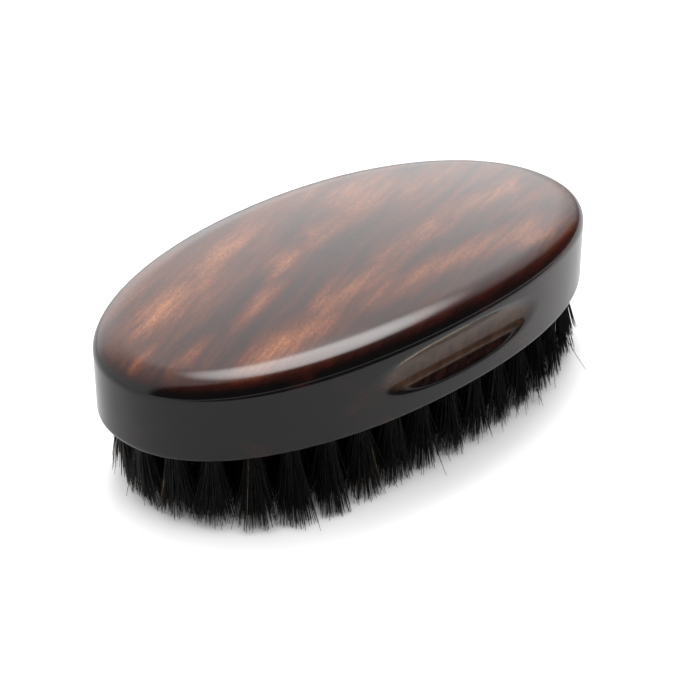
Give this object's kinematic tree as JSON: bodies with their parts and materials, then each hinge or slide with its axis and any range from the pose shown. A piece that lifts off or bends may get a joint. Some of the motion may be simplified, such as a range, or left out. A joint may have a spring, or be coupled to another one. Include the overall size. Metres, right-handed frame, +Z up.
{
  "type": "beard brush",
  "caption": "Oval palm-held beard brush: a crowned, stained hardwood block with finger grooves in both long sides, filled underneath with tufts of boar bristle.",
  "frame": {"origin": "Under the middle of the block, on the plane where the bristle tips stand.", "axes": "+X along the block, +Y across it, +Z up from the bristle tips to the crown."},
  "size_m": [0.124, 0.065, 0.0376],
  "materials": {
    "wood": "dark mottled stain under a gloss lacquer",
    "bristle": "black boar bristle, satin",
    "steel": "bare flat wire"
  },
  "bodies": {
    "root": {"handle_block": "wood", "anchor_1": "steel", "anchor_2": "steel", "anchor_3": "steel", "anchor_4": "steel", "anchor_5": "steel", "centre_tuft_1": "bristle", "centre_tuft_2": "bristle", "centre_tuft_3": "bristle", "centre_tuft_4": "bristle", "centre_tuft_5": "bristle", "outer_tuft_01": "bristle", "outer_tuft_02": "bristle", "outer_tuft_03": "bristle", "outer_tuft_04": "bristle", "outer_tuft_05": "bristle", "outer_tuft_06": "bristle", "outer_tuft_07": "bristle", "outer_tuft_08": "bristle", "outer_tuft_09": "bristle", "outer_tuft_10": "bristle", "outer_tuft_11": "bristle", "outer_tuft_12": "bristle", "outer_tuft_13": "bristle", "outer_tuft_14": "bristle", "outer_tuft_15": "bristle", "outer_tuft_16": "bristle", "outer_tuft_17": "bristle", "outer_tuft_18": "bristle", "outer_tuft_19": "bristle", "outer_tuft_20": "bristle", "outer_tuft_21": "bristle", "outer_tuft_22": "bristle", "outer_tuft_23": "bristle", "outer_tuft_24": "bristle", "outer_tuft_25": "bristle", "outer_tuft_26": "bristle", "outer_tuft_27": "bristle", "outer_tuft_28": "bristle", "outer_tuft_29": "bristle", "outer_tuft_30": "bristle", "outer_tuft_31": "bristle", "outer_tuft_32": "bristle", "outer_tuft_33": "bristle", "outer_tuft_34": "bristle", "outer_tuft_35": "bristle", "outer_tuft_36": "bristle", "tuft_run_oval_2_1": "bristle", "tuft_run_oval_2_2": "bristle", "tuft_run_oval_2_3": "bristle", "tuft_run_oval_2_4": "bristle", "tuft_run_oval_3_1": "bristle", "tuft_run_oval_3_2": "bristle", "tuft_run_oval_3_3": "bristle", "tuft_run_oval_3_4": "bristle", "tuft_run_oval_4_1": "bristle", "tuft_run_oval_4_2": "bristle", "tuft_run_oval_4_3": "bristle", "tuft_run_oval_4_4": "bristle"}
  },
  "joints": []
}
